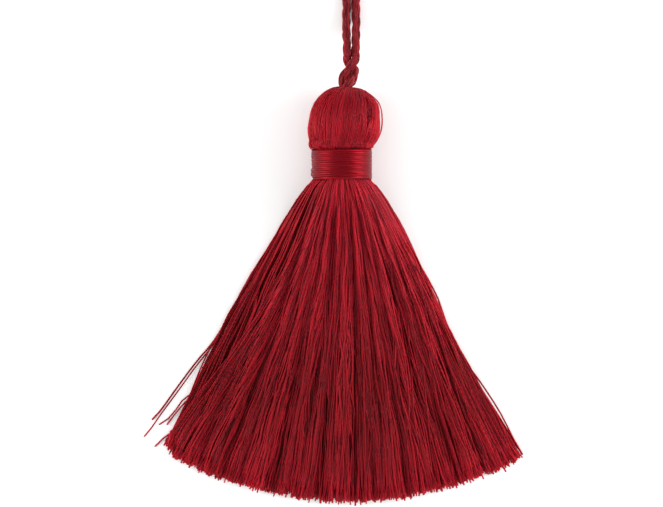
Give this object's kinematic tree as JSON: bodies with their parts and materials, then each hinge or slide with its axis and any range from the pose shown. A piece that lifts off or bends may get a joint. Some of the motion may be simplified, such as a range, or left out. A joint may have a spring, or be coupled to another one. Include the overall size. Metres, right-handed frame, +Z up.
{
  "type": "silk tassel",
  "caption": "Silk tassel laid flat: round bound head on a knotted hanging cord loop, with a long skirt of loose threads fanned out to an arched hem.",
  "frame": {"origin": "on the surface the tassel lies on, straight under the middle of its head, in the head's small flat spot", "axes": "+Y along the tassel from the hem to the hanging loop, +X across the skirt, +Z up out of the surface"},
  "size_m": [0.0834, 0.1586, 0.0167],
  "materials": {
    "silk_floss": "crimson silk floss, satin sheen along the threads",
    "binding_thread": "crimson silk thread wound close, satin",
    "cord_silk": "laid crimson silk cord, soft satin"
  },
  "bodies": {
    "root": {"hank": "silk_floss", "binding": "binding_thread", "loop_knot": "cord_silk", "loop_cord": "cord_silk"}
  },
  "joints": []
}
